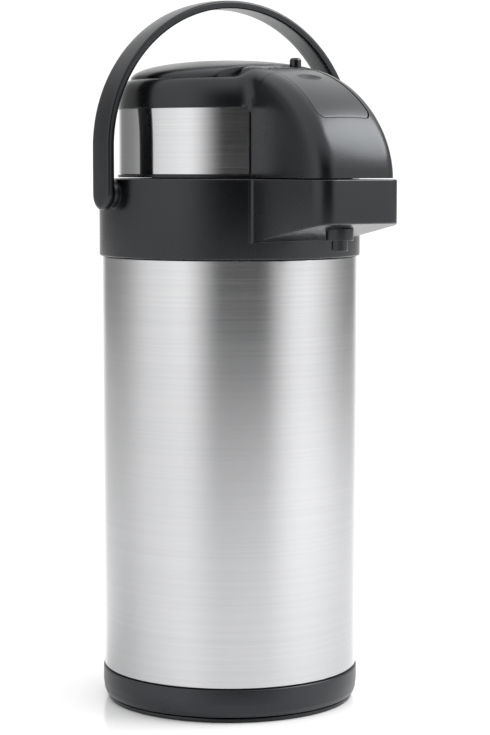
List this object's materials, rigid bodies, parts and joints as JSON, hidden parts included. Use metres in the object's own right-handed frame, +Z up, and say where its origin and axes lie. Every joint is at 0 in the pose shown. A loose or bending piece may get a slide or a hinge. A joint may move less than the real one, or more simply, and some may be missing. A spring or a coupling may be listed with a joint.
{
  "type": "thermal coffee airpot",
  "caption": "Tall insulated steel coffee airpot with a swing-over carrying handle, hinged pump lid with a push cap and a spout under its beak.",
  "frame": {"origin": "centre of the foot's flat underside, on the vessel's axis", "axes": "+Z up along the vessel's axis, the spout points to -Y, the handle's pivots lie on X and the lid hinge is at +Y"},
  "size_m": [0.174, 0.2149, 0.4175],
  "materials": {
    "steel_brushed": "circumferential brushed, satin",
    "steel_plain": "plain drawn or turned",
    "black_satin": "moulded, satin",
    "charcoal": "moulded, satin",
    "panel_grey": "moulded, satin",
    "black_gloss": "polished",
    "natural_plastic": "moulded, food grade",
    "silicone": "soft, matte"
  },
  "bodies": {
    "vessel": {"outer_shell": "steel_brushed", "inner_liner": "steel_plain", "mouth_ring": "natural_plastic", "base_ring": "charcoal", "bottom_bracket": "steel_plain", "base_screw_1": "steel_plain", "base_screw_2": "steel_plain", "base_screw_3": "steel_plain", "collar": "black_satin", "hinge_bracket": "black_satin", "hinge_pin": "steel_plain", "tube_foot": "natural_plastic", "dip_tube": "natural_plastic", "tube_elbow": "natural_plastic", "pour_tube": "natural_plastic", "nozzle_collar": "black_satin", "nozzle_tip": "black_satin"},
    "foot": {"swivel_foot": "black_satin", "swivel_washer": "steel_plain", "swivel_screw": "steel_plain"},
    "valve_ball": {"check_ball": "steel_plain"},
    "pivots": {"pivot_pin_left": "steel_plain", "pivot_pin_right": "steel_plain"},
    "handle": {"bail_handle": "black_satin"},
    "lid": {"lid_shell": "black_satin", "lid_band": "steel_brushed", "lid_plate": "natural_plastic", "lid_gasket": "silicone", "plate_screw_1": "steel_plain", "plate_screw_2": "steel_plain", "plate_screw_3": "steel_plain", "plate_screw_4": "steel_plain", "vent_valve": "silicone", "lid_hinge_leaf": "black_satin", "bellows": "silicone", "return_spring": "steel_plain", "panel_pin": "steel_plain", "panel_spring": "steel_plain"},
    "pump": {"push_cap": "black_satin", "pusher_plate": "natural_plastic"},
    "latch": {"latch_panel": "panel_grey", "latch_hook": "natural_plastic"},
    "lock": {"lock_knob": "black_gloss", "lock_slider": "natural_plastic"}
  },
  "joints": [
    {"name": "lid_open", "type": "hinge", "parent": "vessel", "child": "lid", "pos_m": [0, 0.0715, 0.3186], "axis": [-1, 0, 0], "range_deg": [0, 61]},
    {"name": "pivot_turn", "type": "hinge", "parent": "vessel", "child": "pivots", "pos_m": [0, 0.0025, 0.304], "axis": [-1, 0, 0], "range_deg": [0, 126]},
    {"name": "handle_swing", "type": "hinge", "parent": "pivots", "child": "handle", "pos_m": [0, 0.0025, 0.304], "axis": [1, 0, 0], "range_deg": [-110, 38]},
    {"name": "push_cap_press", "type": "slide", "parent": "lid", "child": "pump", "axis": [0, 0, -1], "range_m": [0, 0.018], "stiffness_N_per_m": 600, "springref_m": -0.004, "deforming": ["bellows", "return_spring"]},
    {"name": "latch_press", "type": "hinge", "parent": "lid", "child": "latch", "pos_m": [0, -0.098, 0.354], "axis": [-1, 0, 0], "range_deg": [0, 2.5], "stiffness_Nm_per_rad": 1.4, "springref_deg": -2.86},
    {"name": "lock_slide", "type": "slide", "parent": "lid", "child": "lock", "axis": [-1, 0, 0], "range_m": [0, 0.028]},
    {"name": "valve_ball_lift", "type": "slide", "parent": "vessel", "child": "valve_ball", "axis": [0, 0, 1], "range_m": [0, 0.006]},
    {"name": "foot_swivel", "type": "hinge", "parent": "vessel", "child": "foot", "pos_m": [0, 0, 0], "axis": [0, 0, 1], "continuous": true}
  ],
  "couplings": [
    {"joint": "pivot_turn", "follows": "lid_open", "ratio": 2.05}
  ]
}
